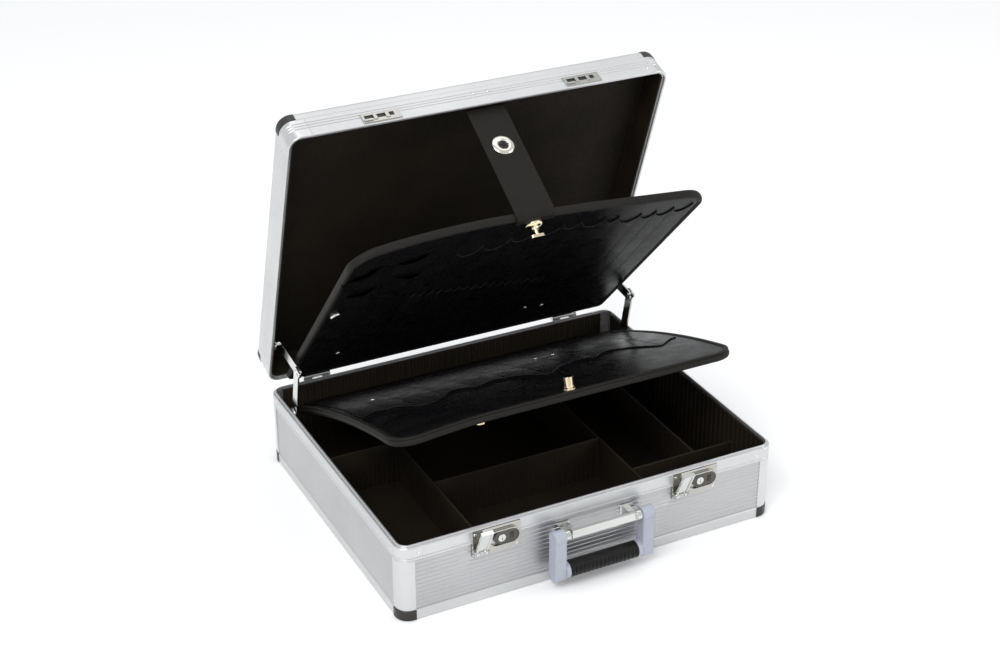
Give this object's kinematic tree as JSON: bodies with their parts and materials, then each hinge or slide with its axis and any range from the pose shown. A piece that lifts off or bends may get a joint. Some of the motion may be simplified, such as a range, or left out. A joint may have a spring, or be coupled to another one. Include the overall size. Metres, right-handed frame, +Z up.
{
  "type": "tool attache case",
  "caption": "Shallow aluminium-framed tool case with a hinged lid, folding tool pallets, divided base, toggle latches and a folding handle.",
  "frame": {"origin": "centre of the underside of the base, on the surface it stands on", "axes": "+X to the right seen from the front, +Y to the back, where the lid hinges are, +Z up"},
  "size_m": [0.4616, 0.4428, 0.4644],
  "materials": {
    "aluminium_frame": "satin anodised extrusion",
    "aluminium_panel": "satin anodised sheet, ribbed on the front, back and lid",
    "bright_corner": "bright anodised",
    "black_plastic": "moulded, satin",
    "hardboard": "black faced hardboard",
    "steel_bright": "bright plated",
    "chrome_plate": "polished chrome plate",
    "black_lining": "matt black lining paper-cloth with a fine grain",
    "black_vinyl": "glossy black artificial leather",
    "edge_binding": "dark grey binding tape",
    "grey_plastic": "smooth, faint lavender grey",
    "black_rubber": "ribbed grip",
    "brass_plate": "polished, pale gold"
  },
  "bodies": {
    "base": {"base_bottom_rails": "aluminium_frame", "base_corner_caps": "black_plastic", "base_corner_posts": "bright_corner", "base_rim_rails": "aluminium_frame", "base_rim_corners": "bright_corner", "base_front_panel": "aluminium_panel", "base_back_panel": "aluminium_panel", "base_side_panels": "aluminium_panel", "base_floor_panel": "hardboard", "base_rivets": "steel_bright", "base_wall_lining": "black_lining", "base_floor_lining": "black_lining", "long_dividers": "black_lining", "cross_dividers": "black_lining", "hinge_base_leaves": "steel_bright", "hinge_pins": "steel_bright", "stay_base_brackets": "chrome_plate", "latch_plates": "chrome_plate", "latch_hasp_pins": "steel_bright", "latch_springs": "steel_bright", "handle_bracket": "chrome_plate", "handle_pivot_pins": "steel_bright", "lower_pallet_hinge": "black_vinyl"},
    "lid": {"lid_rim_rails": "aluminium_frame", "lid_corner_pieces": "bright_corner", "lid_top_rails": "aluminium_frame", "lid_corner_caps": "black_plastic", "lid_top_panel": "aluminium_panel", "lid_lining": "black_lining", "lid_strikes": "chrome_plate", "lid_rivets": "steel_bright", "lid_hinge_leaves": "steel_bright", "stay_lid_brackets": "chrome_plate", "strap": "black_vinyl", "strap_eyelet": "chrome_plate", "upper_pallet_hinge": "black_vinyl"},
    "upper_pallet": {"upper_pallet_board": "black_vinyl", "upper_pallet_edging": "edge_binding", "upper_pallet_pockets": "black_vinyl", "turn_button_seat": "brass_plate"},
    "turn_button": {"turn_button": "brass_plate"},
    "lower_pallet": {"lower_pallet_board": "black_vinyl", "lower_pallet_edging": "edge_binding", "lower_pallet_pockets": "black_vinyl", "lower_pallet_fittings": "brass_plate"},
    "handle": {"handle_arms": "grey_plastic", "handle_grip": "black_rubber", "handle_core_rod": "steel_bright"},
    "lower_link_left": {"stay_lower_link_left": "chrome_plate", "stay_knee_rivet_left": "steel_bright"},
    "upper_link_left": {"stay_upper_link_left": "chrome_plate"},
    "hasp_left": {"latch_hasp_left": "chrome_plate"},
    "slide_left": {"latch_slide_left": "black_plastic"},
    "cylinder_left": {"latch_cylinder_left": "chrome_plate"},
    "lower_link_right": {"stay_lower_link_right": "chrome_plate", "stay_knee_rivet_right": "steel_bright"},
    "upper_link_right": {"stay_upper_link_right": "chrome_plate"},
    "hasp_right": {"latch_hasp_right": "chrome_plate"},
    "slide_right": {"latch_slide_right": "black_plastic"},
    "cylinder_right": {"latch_cylinder_right": "chrome_plate"}
  },
  "joints": [
    {"name": "lid_hinge", "type": "hinge", "parent": "base", "child": "lid", "pos_m": [0, 0.1941, 0.0923], "axis": [1, 0, 0], "range_deg": [0, 70.6]},
    {"name": "upper_pallet_fold", "type": "hinge", "parent": "lid", "child": "upper_pallet", "pos_m": [0, 0.1875, 0.10863], "axis": [1, 0, 0], "range_deg": [-26, 0], "deforming": ["strap", "strap_eyelet"]},
    {"name": "lower_pallet_fold", "type": "hinge", "parent": "base", "child": "lower_pallet", "pos_m": [0, 0.17, 0.0645], "axis": [1, 0, 0], "range_deg": [0, 21.9]},
    {"name": "handle_fold", "type": "hinge", "parent": "base", "child": "handle", "pos_m": [0, -0.205, 0.065], "axis": [-1, 0, 0], "range_deg": [0, 90]},
    {"name": "turn_button_turn", "type": "hinge", "parent": "upper_pallet", "child": "turn_button", "pos_m": [0, -0.04899, 0.34514], "axis": [0, 0.7431, 0.6691], "range_deg": [0, 90]},
    {"name": "stay_lower_left", "type": "hinge", "parent": "base", "child": "lower_link_left", "pos_m": [-0.2192, 0.132, 0.084], "axis": [1, 0, 0], "range_deg": [0, 70.6]},
    {"name": "stay_upper_left", "type": "hinge", "parent": "lower_link_left", "child": "upper_link_left", "pos_m": [-0.2167, 0.11864, 0.14513], "axis": [1, 0, 0], "range_deg": [-70.6, 0]},
    {"name": "hasp_left_hinge", "type": "hinge", "parent": "base", "child": "hasp_left", "pos_m": [-0.138, -0.1922, 0.0645], "axis": [-1, 0, 0], "range_deg": [0, 25], "stiffness_Nm_per_rad": 0.02},
    {"name": "slide_left_press", "type": "slide", "parent": "base", "child": "slide_left", "axis": [-1, 0, 0], "range_m": [0, 0.005], "stiffness_N_per_m": 40},
    {"name": "key_left_turn", "type": "hinge", "parent": "slide_left", "child": "cylinder_left", "pos_m": [-0.114, -0.1905, 0.076], "axis": [0, -1, 0], "range_deg": [0, 90]},
    {"name": "stay_lower_right", "type": "hinge", "parent": "base", "child": "lower_link_right", "pos_m": [0.2192, 0.132, 0.084], "axis": [1, 0, 0], "range_deg": [0, 70.6]},
    {"name": "stay_upper_right", "type": "hinge", "parent": "lower_link_right", "child": "upper_link_right", "pos_m": [0.2167, 0.11864, 0.14513], "axis": [1, 0, 0], "range_deg": [-70.6, 0]},
    {"name": "hasp_right_hinge", "type": "hinge", "parent": "base", "child": "hasp_right", "pos_m": [0.106, -0.1922, 0.0645], "axis": [-1, 0, 0], "range_deg": [0, 25], "stiffness_Nm_per_rad": 0.02},
    {"name": "slide_right_press", "type": "slide", "parent": "base", "child": "slide_right", "axis": [-1, 0, 0], "range_m": [0, 0.005], "stiffness_N_per_m": 40},
    {"name": "key_right_turn", "type": "hinge", "parent": "slide_right", "child": "cylinder_right", "pos_m": [0.13, -0.1905, 0.076], "axis": [0, -1, 0], "range_deg": [0, 90]}
  ],
  "couplings": [
    {"joint": "upper_pallet_fold", "follows": "lid_hinge", "ratio": -0.3682},
    {"joint": "lower_pallet_fold", "follows": "lid_hinge", "ratio": 0.3101},
    {"joint": "stay_lower_left", "follows": "lid_hinge", "ratio": 1},
    {"joint": "stay_upper_left", "follows": "lid_hinge", "ratio": -1},
    {"joint": "stay_lower_right", "follows": "lid_hinge", "ratio": 1},
    {"joint": "stay_upper_right", "follows": "lid_hinge", "ratio": -1}
  ]
}
